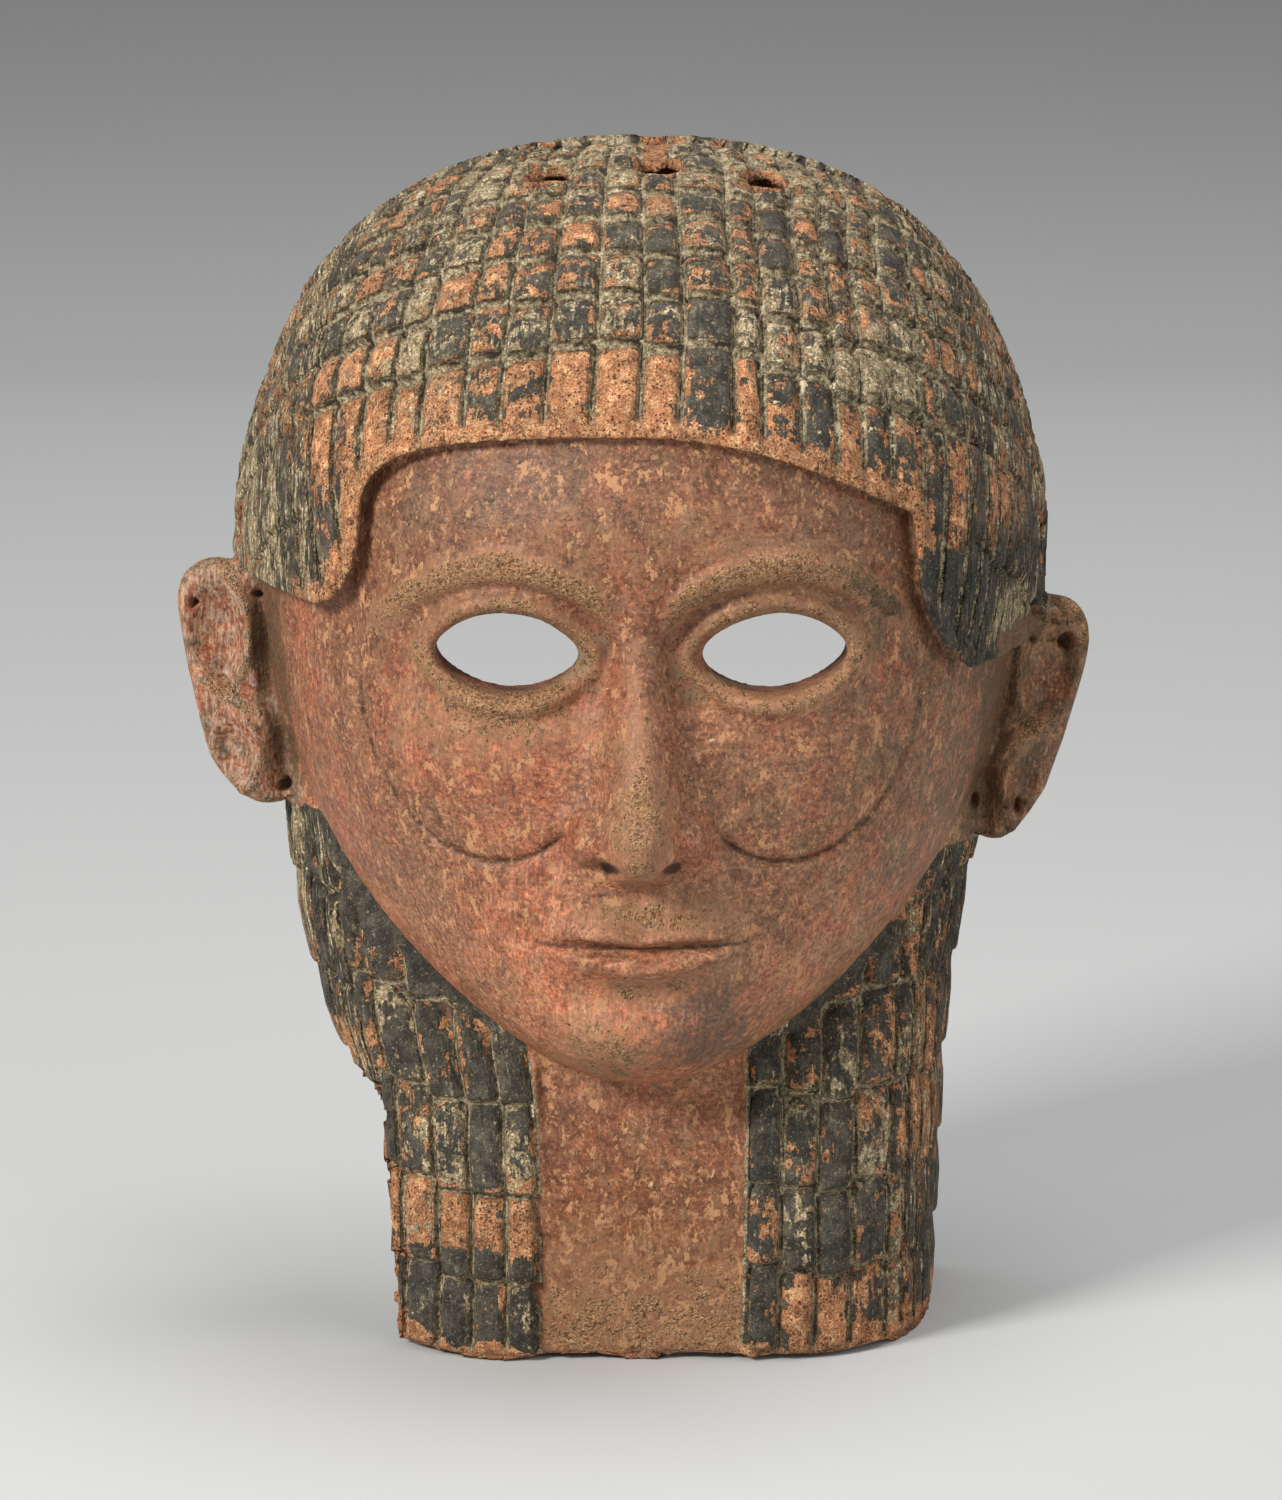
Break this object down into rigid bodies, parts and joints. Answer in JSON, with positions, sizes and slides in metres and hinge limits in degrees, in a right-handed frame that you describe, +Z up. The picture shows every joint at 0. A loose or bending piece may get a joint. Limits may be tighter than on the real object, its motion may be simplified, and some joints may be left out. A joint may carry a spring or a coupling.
{
  "type": "face mask",
  "caption": "Hollow terracotta face mask with pierced eyes, a tiered wig, ears and two hair lappets beside the neck, open behind and below.",
  "frame": {"origin": "middle of the mask's bounding box, on the surface that its foot stands on", "axes": "+Z up from the foot to the crown, the face looks along -Y, +X to the right of someone facing the mask; the back edge lies in one plane across Y"},
  "size_m": [0.226, 0.131, 0.2877],
  "materials": {
    "terracotta": "matte fired clay with red slip and worn black paint"
  },
  "bodies": {
    "root": {"mask": "terracotta"}
  },
  "joints": []
}
